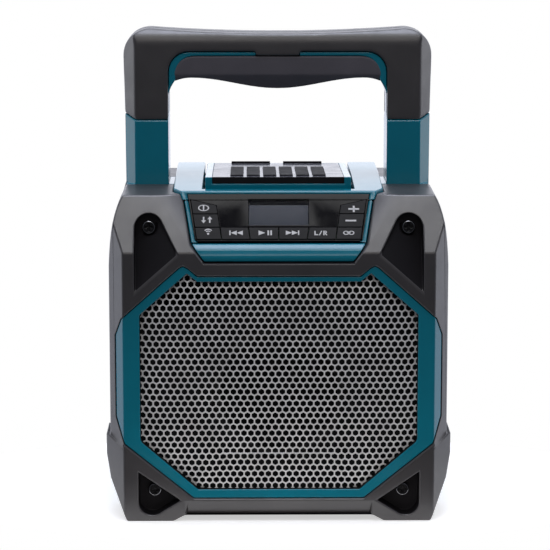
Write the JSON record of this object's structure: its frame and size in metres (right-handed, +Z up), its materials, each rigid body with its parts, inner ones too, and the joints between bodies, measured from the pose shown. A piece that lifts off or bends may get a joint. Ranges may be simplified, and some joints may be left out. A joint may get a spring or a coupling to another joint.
{
  "type": "jobsite speaker",
  "caption": "Rugged portable speaker with a fixed carrying handle, perforated front grille, sloped key panel with display, and a rear battery door locked by a lever in the top deck.",
  "frame": {"origin": "on the ground under the middle of the body's box, between the feet", "axes": "+Z up, -Y toward the grille and the keys, +X to the right seen from the front"},
  "size_m": [0.214, 0.18, 0.299],
  "materials": {
    "overmould": "matte moulded elastomer",
    "shell": "satin teal plastic",
    "grille": "perforated steel sheet",
    "panel": "gloss black",
    "window": "tinted clear plastic",
    "display": "grey liquid crystal panel",
    "inner_plastic": "matte black",
    "seal": "soft black",
    "cone": "pressed fibre",
    "magnet": "plated",
    "coil": "wound wire",
    "board": "laminate",
    "steel": "bright",
    "screw": "black"
  },
  "bodies": {
    "body": {"front_bumper": "overmould", "rear_bumper": "overmould", "grille_frame": "shell", "grille": "grille", "trim_strip": "shell", "cabinet_front": "shell", "cabinet_rear": "shell", "cabinet_seal": "seal", "baffle": "inner_plastic", "woofer_basket": "inner_plastic", "woofer_magnet": "magnet", "woofer_surround": "seal", "woofer_spider": "cone", "tweeter_frame": "inner_plastic", "tweeter_dome": "cone", "tweeter_magnet": "magnet", "driver_screws": "screw", "top_housing": "shell", "fascia": "panel", "display_window": "window", "display": "display", "key_board": "board", "key_switches": "inner_plastic", "main_board": "board", "handle_core": "shell", "handle_cover_front": "overmould", "handle_cover_rear": "overmould", "grip_pad": "overmould", "handle_screws": "screw", "door_seal": "seal", "door_pin": "steel", "battery_bay": "inner_plastic", "battery_terminal": "inner_plastic", "battery_pack": "inner_plastic", "flap_pin": "steel", "socket_board": "board", "dc_inlet": "inner_plastic", "audio_socket": "inner_plastic", "usb_socket": "steel", "front_screws": "screw", "rear_screws": "screw"},
    "key_power": {"key_power": "panel"},
    "key_tone": {"key_tone": "panel"},
    "key_wireless": {"key_wireless": "panel"},
    "key_previous": {"key_previous": "panel"},
    "key_play": {"key_play": "panel"},
    "key_next": {"key_next": "panel"},
    "key_channel": {"key_channel": "panel"},
    "key_link": {"key_link": "panel"},
    "key_plus": {"key_plus": "panel"},
    "key_minus": {"key_minus": "panel"},
    "cone": {"woofer_cone": "cone", "voice_coil": "coil"},
    "door": {"battery_door": "shell", "lever_pin": "steel"},
    "lever": {"locking_lever": "shell", "lever_insert": "overmould"},
    "flap": {"socket_flap": "overmould"}
  },
  "joints": [
    {"name": "key_power_press", "type": "slide", "parent": "body", "child": "key_power", "axis": [0, 0.8541, -0.5202], "range_m": [0, 0.0007], "stiffness_N_per_m": 600},
    {"name": "key_tone_press", "type": "slide", "parent": "body", "child": "key_tone", "axis": [0, 0.8541, -0.5202], "range_m": [0, 0.0007], "stiffness_N_per_m": 600},
    {"name": "key_wireless_press", "type": "slide", "parent": "body", "child": "key_wireless", "axis": [0, 0.8541, -0.5202], "range_m": [0, 0.0007], "stiffness_N_per_m": 600},
    {"name": "key_previous_press", "type": "slide", "parent": "body", "child": "key_previous", "axis": [0, 0.8541, -0.5202], "range_m": [0, 0.0007], "stiffness_N_per_m": 600},
    {"name": "key_play_press", "type": "slide", "parent": "body", "child": "key_play", "axis": [0, 0.8541, -0.5202], "range_m": [0, 0.0007], "stiffness_N_per_m": 600},
    {"name": "key_next_press", "type": "slide", "parent": "body", "child": "key_next", "axis": [0, 0.8541, -0.5202], "range_m": [0, 0.0007], "stiffness_N_per_m": 600},
    {"name": "key_channel_press", "type": "slide", "parent": "body", "child": "key_channel", "axis": [0, 0.8541, -0.5202], "range_m": [0, 0.0007], "stiffness_N_per_m": 600},
    {"name": "key_link_press", "type": "slide", "parent": "body", "child": "key_link", "axis": [0, 0.8541, -0.5202], "range_m": [0, 0.0007], "stiffness_N_per_m": 600},
    {"name": "key_plus_press", "type": "slide", "parent": "body", "child": "key_plus", "axis": [0, 0.8541, -0.5202], "range_m": [0, 0.0007], "stiffness_N_per_m": 600},
    {"name": "key_minus_press", "type": "slide", "parent": "body", "child": "key_minus", "axis": [0, 0.8541, -0.5202], "range_m": [0, 0.0007], "stiffness_N_per_m": 600},
    {"name": "cone_stroke", "type": "slide", "parent": "body", "child": "cone", "axis": [0, 1, 0], "range_m": [-0.0025, 0.0025], "stiffness_N_per_m": 1500},
    {"name": "door_swing", "type": "hinge", "parent": "body", "child": "door", "pos_m": [0, 0.083, 0.0185], "axis": [-1, 0, 0], "range_deg": [0, 90]},
    {"name": "lever_lift", "type": "hinge", "parent": "door", "child": "lever", "pos_m": [0, 0.06, 0.2], "axis": [-1, 0, 0], "range_deg": [0, 12]},
    {"name": "flap_swing", "type": "hinge", "parent": "body", "child": "flap", "pos_m": [0.102, 0, 0.096], "axis": [0, -1, 0], "range_deg": [0, 110]}
  ]
}
